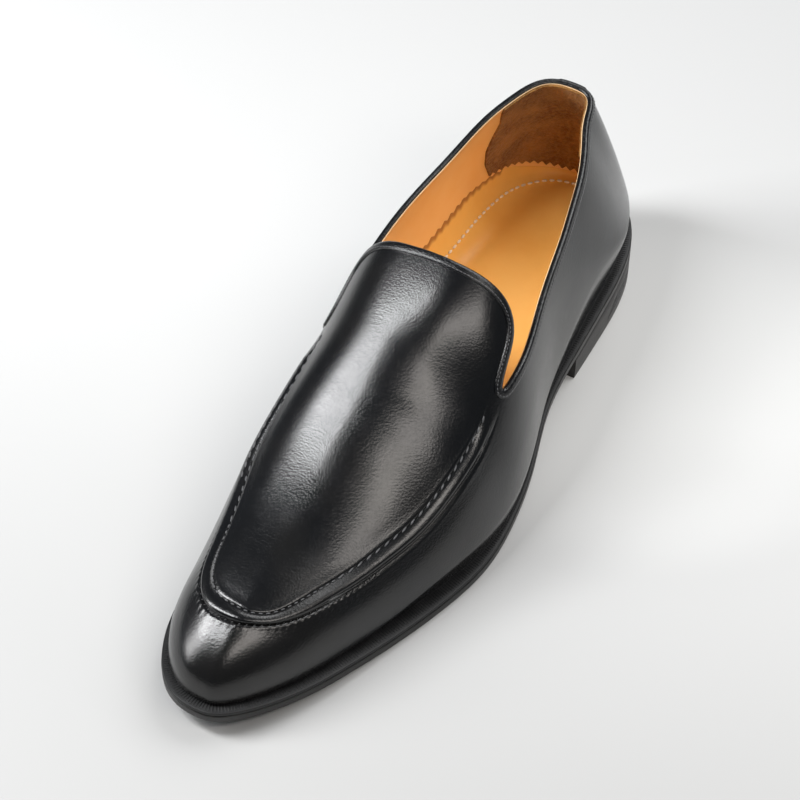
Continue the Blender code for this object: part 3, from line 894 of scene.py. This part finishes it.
# stitches and ribs: one tree sets small bars along a path
def barTree():
    tree = bpy.data.node_groups.new("barsAlongPath", "GeometryNodeTree")
    nodes, links, face = tree.nodes, tree.links, tree.interface
    inputs = {"Geometry": face.new_socket("Geometry", in_out="INPUT", socket_type="NodeSocketGeometry")}
    for name in ("Spacing", "Length", "Width", "Height", "Turn"):
        inputs[name] = face.new_socket(name, in_out="INPUT", socket_type="NodeSocketFloat")
    inputs["Finish"] = face.new_socket("Finish", in_out="INPUT", socket_type="NodeSocketMaterial")
    face.new_socket("Geometry", in_out="OUTPUT", socket_type="NodeSocketGeometry")

    def add(kind, settings=None, sockets=None):
        made = nodes.new(kind)
        for key, value in (settings or {}).items():
            setattr(made, key, value)
        for key, value in (sockets or {}).items():
            if isinstance(value, bpy.types.NodeSocket):
                links.new(value, made.inputs[key])
            else:
                made.inputs[key].default_value = value
        return made

    start, end = nodes.new("NodeGroupInput"), nodes.new("NodeGroupOutput")
    curve = add("GeometryNodeMeshToCurve", None, {"Mesh": start.outputs["Geometry"]})
    even = add("GeometryNodeResampleCurve", {"mode": "LENGTH"},
               {"Curve": curve.outputs[0], "Length": start.outputs["Spacing"]})
    tangent = add("GeometryNodeInputTangent")
    lift = add("GeometryNodeInputNamedAttribute", {"data_type": "FLOAT_VECTOR"}, {"Name": "lift"})
    reach = add("GeometryNodeInputNamedAttribute", {"data_type": "FLOAT"}, {"Name": "reach"})
    ahead = add("FunctionNodeAlignRotationToVector", {"axis": "X"}, {"Vector": tangent.outputs[0]})
    upright = add("FunctionNodeAlignRotationToVector", {"axis": "Z", "pivot_axis": "X"},
                  {"Rotation": ahead.outputs[0], "Vector": lift.outputs[0]})
    turn = add("ShaderNodeCombineXYZ", None, {"Z": start.outputs["Turn"]})
    spin = add("FunctionNodeEulerToRotation", None, {"Euler": turn.outputs[0]})
    turned = add("FunctionNodeRotateRotation", {"rotation_space": "LOCAL"},
                 {"Rotation": upright.outputs[0], "Rotate By": spin.outputs[0]})
    ball = add("GeometryNodeMeshUVSphere", None, {"Segments": 8, "Rings": 6, "Radius": 0.5})
    long = add("ShaderNodeMath", {"operation": "MULTIPLY"}, {0: reach.outputs[0], 1: start.outputs["Length"]})
    size = add("ShaderNodeCombineXYZ", None,
               {"X": long.outputs[0], "Y": start.outputs["Width"], "Z": start.outputs["Height"]})
    bars = add("GeometryNodeInstanceOnPoints", None, {
        "Points": even.outputs[0], "Instance": ball.outputs[0],
        "Rotation": turned.outputs[0], "Scale": size.outputs[0]})
    real = add("GeometryNodeRealizeInstances", None, {"Geometry": bars.outputs[0]})
    smooth = add("GeometryNodeSetShadeSmooth", None, {"Geometry": real.outputs[0]})
    coloured = add("GeometryNodeSetMaterial", None,
                   {"Geometry": smooth.outputs[0], "Material": start.outputs["Finish"]})
    links.new(coloured.outputs[0], end.inputs[0])
    return tree, {name: item.identifier for name, item in inputs.items()}


barNodes, barInputs = barTree()


def layBars(name, paths, slot, finish, spacing, length, width, height, turn=0.0):
    mesh = bpy.data.meshes.new(name + "Path")
    points, edges, lifts, reaches = [], [], [], []
    for place, normal, reach, closed in paths:
        base = len(points)
        points += (place * mm).tolist()
        lifts += normal.tolist()
        reaches += np.broadcast_to(reach, len(place)).tolist()
        edges += [(base + k, base + k + 1) for k in range(len(place) - 1)]
        if closed:
            edges.append((base + len(place) - 1, base))
    mesh.from_pydata(points, edges, [])
    up = mesh.attributes.new("lift", "FLOAT_VECTOR", "POINT")
    up.data.foreach_set("vector", np.array(lifts, np.float32).ravel())
    mesh.attributes.new("reach", "FLOAT", "POINT").data.foreach_set("value", np.array(reaches, np.float32))
    guide = show(name + "Path", mesh)
    bars = guide.modifiers.new("bars", "NODES")
    bars.node_group = barNodes
    for key, value in dict(Spacing=spacing, Length=length, Width=width, Height=height).items():
        bars[barInputs[key]] = value * mm
    bars[barInputs["Turn"]] = math.radians(turn)
    bars[barInputs["Finish"]] = finish
    bpy.context.view_layer.update()
    made = bpy.data.meshes.new_from_object(guide.evaluated_get(bpy.context.evaluated_depsgraph_get()))
    made.name = name
    bpy.data.objects.remove(guide)
    fitPiece(name, made)


def seamPath(gap, lift, low, high=shoe["length"] + 1.0, sides=("medial", "lateral")):   # a line by the seam
    place, normal = seamPaths[gap]
    keep, medial = (fineLoop[:, 1] > low) & (fineLoop[:, 1] < high), isMedial(fineLoop)
    order = np.concatenate([np.where(keep & (medial == (side == "medial")))[0] for side in sides])
    return place[order] + normal[order] * lift, normal[order], 1.0, False


def edgeLine(members, inset, lift):
    place = edgePlace[members] + edgeInto[members] * inset + edgeNormal[members] * lift
    return place, edgeNormal[members], 1.0, False


stitches = dict(
    toe=dict(spacing=2.7, length=1.7, width=0.6, height=0.55),
    side=dict(spacing=4.2, length=2.9, width=0.75, height=0.7, turn=14.0),
    step=dict(spacing=2.7, length=1.5, width=0.5, height=0.5, turn=52.0),
    bound=dict(spacing=1.55, length=1.15, width=0.38, height=0.34),
    sock=dict(spacing=3.1, length=2.4, width=1.15, height=1.1),
)
# gap is up the wall from the seam, low and high are alongs, inset is from the bound edge
stitchLines = dict(
    toe=dict(gap=2.45, lift=0.2, low=252.0),
    medial=dict(gap=2.45, lift=0.25, low=165.0, high=252.0, sides=["medial"]),
    lateral=dict(gap=2.45, lift=0.25, low=165.0, high=252.0, sides=["lateral"]),
    roll=dict(gap=0.9, lift=0.12, low=174.0, high=226.0, sides=["medial"]),
    step=dict(gap=-2.1, lift=0.15, low=236.0),
    bound=dict(inset=2.35, lift=0.66),
)
seams = {name: seamPath(**line) for name, line in stitchLines.items() if name != "bound"}
sideRows = [seams[name] for name in ("medial", "lateral", "roll")]
layBars("apronStitches", [seams["toe"]], "calf", paintedGlintThread, **stitches["toe"])
layBars("sideStitches", sideRows, "calf", paintedGlintThread, **stitches["side"])
layBars("stepStitches", [seams["step"]], "calf", blackThread, **stitches["step"])
for name, members in (("collarStitches", collarRun), ("tongueStitches", tongueRun)):
    layBars(name, [edgeLine(members, **stitchLines["bound"])], "calf", paintedGlintThread, **stitches["bound"])
print("stitches laid")


# sole, welt and heel
sole = dict(pace=1.6, round=0.55, soft=0.16, bevel=0.3, flat=4.0)   # flat is how far in its flat faces begin


def makeOutsole():
    loop, half = outline(sole["pace"])
    inside, count, low, tall = inward(loop), len(loop), floorLine(loop[:, 1]), shoe["outsole"]
    turn, soft, bevel, flat = (sole[key] for key in ("round", "soft", "bevel", "flat"))
    levels = [(flat, 0.0), (turn, 0.0), (soft, soft), (0.0, turn)]
    levels += [(0.0, tall - bevel), (bevel, tall), (flat, tall)]
    points = np.concatenate([
        np.column_stack([loop + inside * inset, low + height]) for inset, height in levels
    ])
    faces = loopBands(count, len(levels)) + loopLid(count, half, 0, True)
    faces += loopLid(count, half, (len(levels) - 1) * count, False)
    addPiece("outsoleEdge", toFrame(points), faces, edgeBlack, ["outsole"], None, 35.0)


welt = dict(
    pace=1.2, gap=0.05,
    rib=1.12, ribWide=0.62, ribTall=0.55, ribInset=0.6, ribMargin=0.75, ribLeast=0.35, ribSink=0.08,
)


def makeWelt():
    loop = outline(welt["pace"])[0]
    inside, count, tall = inward(loop), len(loop), shoe["welt"]
    base = floorLine(loop[:, 1]) + shoe["outsole"] + shoe["join"]
    near = lastAt["ledge"](loop[:, 1]) - welt["gap"]
    levels = [                             # inset from the sole edge, height above the outsole
        (0.25, 0.0),
        (0.2, 0.3),
        (0.2, tall - 0.45),
        (0.35, tall - 0.15),
        (0.7, tall - 0.05),
        (near, tall - 0.1),
        (near, 0.0),
    ]
    points = np.concatenate([
        np.column_stack([loop + inside * np.broadcast_to(inset, count)[:, None], base + height])
        for inset, height in levels
    ])
    faces = [tuple(k % (len(levels) * count) for k in face) for face in loopBands(count, len(levels) + 1)]
    addPiece("weltStrip", toFrame(points), faces, weltBlack, ["welt"], None, 35.0)
    reach = np.maximum(near - welt["ribMargin"], welt["ribLeast"])
    mid = loop + inside * (welt["ribInset"] + 0.5 * reach)[:, None]
    place = toFrame(np.column_stack([mid, base + tall - welt["ribSink"]]))
    up = np.tile((0.0, 0.0, 1.0), (count, 1))
    sizes = dict(spacing=welt["rib"], length=1.0, width=welt["ribWide"], height=welt["ribTall"], turn=90.0)
    layBars("weltRibs", [(place, up, reach, True)], "sole", weltBlack, **sizes)   # each as long as its reach


heel = dict(
    pace=1.3, draft=0.4, cornerGap=0.8, topRound=0.5, topInset=0.25,
    grooves=4, grooveFrom=5.0, grooveStep=1.45, grooveDeep=1.1, grooveHalf=0.46,
    grooveEnd=54.0, grooveStagger=2.0, grooveFade=9.0,   # each runs out a little before the one below it
)
heelFoot = rows("height inset", (0.0, 0.4), (0.15, 0.12), (0.5, 0.0))
grooveProfile = rows(                      # shares of the half width and of the depth
    "across deep",
    (-1.0, 0.0),
    (-0.6, 0.7),
    (0.0, 1.0),
    (0.6, 0.7),
    (1.0, 0.0),
)


def makeHeel():
    loop = outline(heel["pace"])[0]
    breast = shoe["breast"]
    keep = np.where(loop[:, 1] < breast - heel["cornerGap"])[0]
    corners = [(sign * soleAt[name](breast), breast) for sign, name in ((1, "lateral"), (-1, "medial"))]
    ring = np.concatenate([[corners[0]], loop[keep], [corners[1]]])
    into = np.concatenate([[(-1.0, 0.0)], inward(loop)[keep], [(1.0, 0.0)]])
    along, count = ring[:, 1], len(ring)
    top = floorLine(along) - shoe["join"]

    def level(height, inset):
        drafted = heel["draft"] * (1.0 - height / top) + inset
        return np.column_stack([ring + into * drafted[:, None], np.full(count, height)])

    bands = [level(height, inset) for height, inset in zip(*heelFoot.values())]
    for k in range(heel["grooves"]):
        fade = ease((heel["grooveEnd"] - heel["grooveStagger"] * (k + 1) - along) / heel["grooveFade"])
        middle = heel["grooveFrom"] + k * heel["grooveStep"]
        for across, deep in zip(*grooveProfile.values()):
            bands.append(level(middle + across * heel["grooveHalf"], heel["grooveDeep"] * deep * fade))
    bands.append(np.column_stack([ring, top - heel["topRound"]]))
    bands.append(np.column_stack([ring + into * heel["topInset"], top]))
    faces = loopBands(count, len(bands))
    for base, flip in ((0, True), ((len(bands) - 1) * count, False)):
        half = range(count // 2 - 1)
        rungs = [(base + i, base + i + 1, base + count - 2 - i, base + count - 1 - i) for i in half]
        if count % 2:
            k = base + count // 2
            rungs.append((k - 1, k, k + 1))
        faces += [rung[::-1] for rung in rungs] if flip else rungs
    addPiece("heelBlock", toFrame(np.concatenate(bands)), faces, heelBlack, ["heel"], None, 35.0)


makeOutsole()
makeWelt()
makeHeel()
print("sole, welt and heel made")


# insole board, sock with its pinked edge, and the suede grip at the heel
insole = dict(pace=2.0, gap=0.1, lean=1.6, low=0.2)   # its edge leans in
sock = dict(
    pace=0.75, thick=0.9, gap=0.15,
    toothPitch=4.6, tooth=1.9, pinkFrom=20.0, pinkOver=8.0,
    turnIn=5.0, turnShare=0.5, turnStart=0.45, turnRows=11, leastClimb=2.0,   # the quarter round up each wall
    swellTo=240.0, swellOver=60.0,         # it follows the wall's swell up to here
    toeNarrow=2.5, toeFrom=215.0, toeOver=40.0,
    lineInset=4.2, lineTo=170.0, lineLift=0.4,
    noPaintedShadowGap=3.0,                          # edge mark where no painted shadow darkens the edge
)
sockDish = rows(                           # how far the sock climbs each wall
    "along medial lateral",
    (0.0, 2.6, 2.6),
    (12.0, 6.5, 3.5),
    (28.0, 14.5, 6.0),
    (50.0, 19.0, 7.0),
    (75.0, 17.5, 7.0),
    (110.0, 13.0, 6.5),
    (150.0, 8.0, 5.0),
    (220.0, 2.0, 2.0),
    (304.0, 0.8, 0.8),
)


def makeInsole():
    loop, half = outline(insole["pace"])
    foot, base = footRing(loop)
    count, inside = len(loop), inward(loop)
    levels = [(insole["gap"], 0.0), (insole["lean"], shoe["insole"] - insole["low"])]
    points = np.concatenate([
        np.column_stack([foot + inside * (shoe["wall"] + inset), base + up]) for inset, up in levels
    ])
    faces = loopBands(count, 2) + loopLid(count, half, 0, True) + loopLid(count, half, count, False)
    addPiece("insoleBoard", toFrame(points), faces, liningTan, ["insole"], None, 35.0)


def makeSock():
    loop, half = outline(sock["pace"])
    foot, base = footRing(loop)
    inside, count, along, medial = inward(loop), len(loop), loop[:, 1], isMedial(loop)
    climbs = [np.interp(along, sockDish["along"], sockDish[name]) for name in ("medial", "lateral")]
    climb = calm(np.where(medial, *climbs), 30)
    reach = sock["turnIn"] + sock["turnShare"] * climb
    rise = ease(1.0 - (shoe["insole"] + climb) / bySide(loop, "wide"))
    swell = bySide(loop, "bulge") * (1.0 - rise) * ease((sock["swellTo"] - along) / sock["swellOver"])
    swell -= sock["toeNarrow"] * ease((along - sock["toeFrom"]) / sock["toeOver"])
    pinked = medial * ease((along - sock["pinkFrom"]) / sock["pinkOver"])
    tooth = pinked * pinking(loopRun(foot)[0], sock)

    def dished(turn):                      # a quarter round from the wall down to the flat
        plan = foot + inside * (shoe["wall"] + sock["gap"] - swell + reach * (1.0 - np.cos(turn)))[:, None]
        return np.column_stack([plan, base + shoe["insole"] + sock["thick"] + climb * (1.0 - np.sin(turn))])

    turns = [np.arctan2(tooth, np.maximum(climb, sock["leastClimb"]))]
    turns += [np.full(count, turn) for turn in np.linspace(sock["turnStart"], math.pi / 2, sock["turnRows"])]
    points = toFrame(np.concatenate([dished(turn) for turn in turns]))
    faces = loopBands(count, len(turns)) + loopLid(count, half, (len(turns) - 1) * count, False)
    normal = vertexNormals(points, faces)
    if normal[-count:, 2].mean() < 0.0:
        faces, normal = [face[::-1] for face in faces], -normal
    solid, closed = closeShell(points, points - normal * sock["thick"], faces)
    # painted shadow darkens only the pinked teeth's edge; elsewhere the edge mark keeps it off
    edgeGap = sock["noPaintedShadowGap"] * np.concatenate([1.0 - pinked, np.ones(len(points) - count)])
    addPiece("sockSheet", solid, closed, sockTan, (), {"edgeGap": np.tile(edgeGap, 2)}, 45.0)
    turn = np.arccos(np.clip(1.0 - sock["lineInset"] / reach, -1.0, 1.0))
    keep = np.where(along < sock["lineTo"])[0]
    place = toFrame(dished(turn))[keep]
    lean = unit(np.column_stack([inside * np.cos(turn)[:, None] / reach[:, None], np.sin(turn) / climb]))
    up = np.column_stack([lean[:, 0], -lean[:, 1], lean[:, 2]])[keep]
    line = (place + up * sock["lineLift"], up, 1.0, False)
    layBars("sockStitches", [line], "lining", paleThread, **stitches["sock"])


makeInsole()
makeSock()
print("insole and sock made")

grip = dict(
    pace=0.7, thick=0.8, sink=0.1, raised=0.05, toothPitch=4.1, tooth=1.9, topGap=0.4, rows=41, columns=241,
    within=75.0,                           # no part of it is farther from the heel back
    lowest=26.0, highest=100.0, step=0.5,  # heights that the wall is read at
    middle=(0.0, 70.0, 50.0),              # a point inside the shoe that its face looks to
)
gripFront = rows(                          # reach of the front edge from the heel back
    "height reach",
    (42.0, 55.0),
    (52.0, 59.5),
    (60.6, 60.6),
    (67.5, 58.5),
    (75.5, 55.6),
    (84.0, 57.5),
)
gripFoot = rows(                           # run is from the heel back, medial positive
    "run height",
    (-60.0, 37.0),
    (-30.0, 34.0),
    (0.0, 31.0),
    (12.0, 31.4),
    (22.0, 33.2),
    (30.0, 35.6),
    (39.0, 38.6),
    (48.0, 40.6),
    (60.0, 43.0),
)


def makeGrip():
    loop, half = outline(grip["pace"])
    run, count = loopRun(loop)[0], len(loop)
    near = np.where(np.abs(run - run[half]) < grip["within"])[0]
    fromBack = run[near] - run[half]
    shares = np.concatenate([np.linspace(-1.0, 0.0, 30)[:-1], np.linspace(0.0, 0.8, 100)])
    base = np.stack([lastPoint(loop, np.full(count, share)) for share in shares])
    grid = np.stack([toFrame(level) for level in base])
    normal = np.cross(np.roll(grid, -1, 1) - np.roll(grid, 1, 1), np.gradient(grid, axis=0))
    normal /= np.linalg.norm(normal, axis=2)[:, :, None]
    top = np.array([np.interp(0.0, openingField(base[:, j]) + grip["topGap"], grid[:, j, 2]) for j in near])
    across = np.linspace(-1.0, 1.0, grip["columns"])[None, :]
    up = np.linspace(0.0, 1.0, grip["rows"])[:, None]
    where = across * gripFront["reach"][0]
    for _ in range(3):                     # the reach depends on the height, and the height on the reach
        foot = np.interp(where, gripFoot["run"], gripFoot["height"]) + pinking(where, grip)
        tall = foot + (np.interp(where, fromBack, top) - foot) * up
        where = across * np.interp(tall, gripFront["height"], gripFront["reach"])
    levels = np.arange(grip["lowest"], grip["highest"], grip["step"])
    column = np.clip(np.interp(where, fromBack, np.arange(len(near))), 0, len(near) - 1.001)
    level = np.clip((tall - grip["lowest"]) / grip["step"], 0, len(levels) - 1.001)
    i, j = column.astype(int), level.astype(int)
    a, b = (column - i)[..., None], (level - j)[..., None]

    def sheet(depth):                      # the wall this deep, read at the grip's own places
        skin = grid - normal * depth
        even = np.stack([
            np.stack([np.interp(levels, grid[:, c, 2], skin[:, c, k]) for k in range(3)], 1) for c in near
        ])
        low = even[i, j] * (1 - a) + even[i + 1, j] * a
        high = even[i, j + 1] * (1 - a) + even[i + 1, j + 1] * a
        return (low * (1 - b) + high * b).reshape(-1, 3)

    face, back = sheet(shoe["wall"] + grip["raised"] + grip["thick"]), sheet(shoe["wall"] - grip["sink"])
    side, along, height = grip["middle"]
    inwards = np.array([side, shoe["length"] / 2 - along, height]) - face[0]
    faces = turnFaces(face, stripBands(grip["columns"], grip["rows"]), inwards)
    solid, closed = closeShell(face, back, faces)
    addPiece("heelGrip", solid, closed, gripSuede, (), None, 50.0)


makeGrip()
print("heel grip made")

# camera, floor and lights; azimuth 0 is toward the toe, 90 toward the lateral side
view = dict(
    azimuth=29.401, elevation=46.947, roll=-0.3567, distance=1105.87, lens=129.635,
    aim=(-9.418, 149.585, 27.647),
)


def standing(place, aim, distance):        # matrix of a camera or lamp that looks back at the aim
    turn, tilt, roll = (math.radians(place[key]) for key in ("azimuth", "elevation", "roll"))
    out = Vector((math.sin(turn) * math.cos(tilt), -math.cos(turn) * math.cos(tilt), math.sin(tilt)))
    level = Vector((math.cos(turn), math.sin(turn), 0.0))
    wide = level * math.cos(roll) + out.cross(level) * math.sin(roll)
    facing = Matrix((wide, out.cross(wide), out)).transposed().to_4x4()
    return Matrix.Translation(aim + out * distance) @ facing


def makeCamera():
    camera = show("camera", bpy.data.cameras.new("camera"))
    camera.data.lens, camera.data.sensor_width = view["lens"], 36.0
    aim = Vector(toFrame(np.array([view["aim"]]))[0] * mm)
    camera.matrix_world = standing(view, aim, view["distance"] * mm)
    bpy.context.scene.camera = camera


studio = dict(                             # metres
    paintedDimFloor=(0.50, 0.50, 0.497), paintedPaleFloor=(0.65, 0.65, 0.647),   # toe end and heel end; painted shade and light: the floor darkens toward the toe and pales toward the heel to follow the fall of the lamps' light
    nearTo=-0.16, farFrom=0.12, floorHalf=6.0,
    paintedFillFloor=(0.80, 0.80, 0.79), paintedFillSpot=(0.055, 0.09), paintedFillWide=0.115,   # painted light: a paler round patch of floor over the shoe's shadow on its shaded side
    world=(0.82, 0.92, 1.0), worldStrength=0.11,
)
lamps = dict(
    left=dict(azimuth=-59.0, elevation=54.0, roll=58.0, distance=1.0,
              size=(0.66, 0.19), power=7.6, tint=(0.98, 0.99, 1.0)),
    right=dict(azimuth=62.0, elevation=52.0, roll=-15.0, distance=0.86,
               size=(0.6, 0.18), power=2.15, tint=(1.0, 0.95, 0.9)),
    toe=dict(azimuth=-58.0, elevation=32.0, roll=0.0, distance=0.9,
             size=(0.24, 0.56), power=4.2, tint=(1.0, 1.0, 1.0)),
    back=dict(azimuth=158.0, elevation=52.0, roll=0.0, distance=2.0,
              size=(1.8, 1.0), power=25.0, tint=(1.0, 1.0, 1.0)),
)


def makeFloor():
    look = Finish("paleFloor", {"Roughness": 0.9, "Specular IOR Level": 0.1})
    side, ahead = (look.node("ShaderNodeSeparateXYZ", None, {0: look.place}, axis) for axis in ("X", "Y"))
    # painted shade and light: darker floor colour toward the toe, paler toward the heel
    toHeel = look.span(ahead, studio["nearTo"], studio["farFrom"])
    plain = look.mix(toHeel, studio["paintedDimFloor"], studio["paintedPaleFloor"])
    # painted light: the floor is paled in a round patch where the shoe's shadow falls
    beside, beyond = side - studio["paintedFillSpot"][0], ahead - studio["paintedFillSpot"][1]
    paintedFillSpot = look.span(beside * beside + beyond * beyond, 0.0, studio["paintedFillWide"] ** 2, 1.0, 0.0)
    look.feed("Base Color", look.mix(paintedFillSpot, plain, studio["paintedFillFloor"]))
    mesh, half = bpy.data.meshes.new("floor"), studio["floorHalf"]
    corners = [(-half, -half, 0), (half, -half, 0), (half, half, 0), (-half, half, 0)]
    mesh.from_pydata(corners, [], [(0, 1, 2, 3)])
    mesh.materials.append(look.material)
    ground = show("floor", mesh)


def makeLights():
    for name, lamp in lamps.items():
        light = bpy.data.lights.new(name, "AREA")
        light.shape, light.size, light.size_y, light.energy = "RECTANGLE", *lamp["size"], lamp["power"]
        light.color = lamp["tint"]
        show(name, light).matrix_world = standing(lamp, Vector(), lamp["distance"])
    world = bpy.data.worlds.new("studio")
    world.use_nodes = True
    world.node_tree.nodes["Background"].inputs[0].default_value = (*studio["world"], 1.0)
    world.node_tree.nodes["Background"].inputs[1].default_value = studio["worldStrength"]
    bpy.context.scene.world = world
    bpy.context.scene.view_settings.view_transform = "Standard"


makeCamera()
makeFloor()
makeLights()
print("camera and lights set")
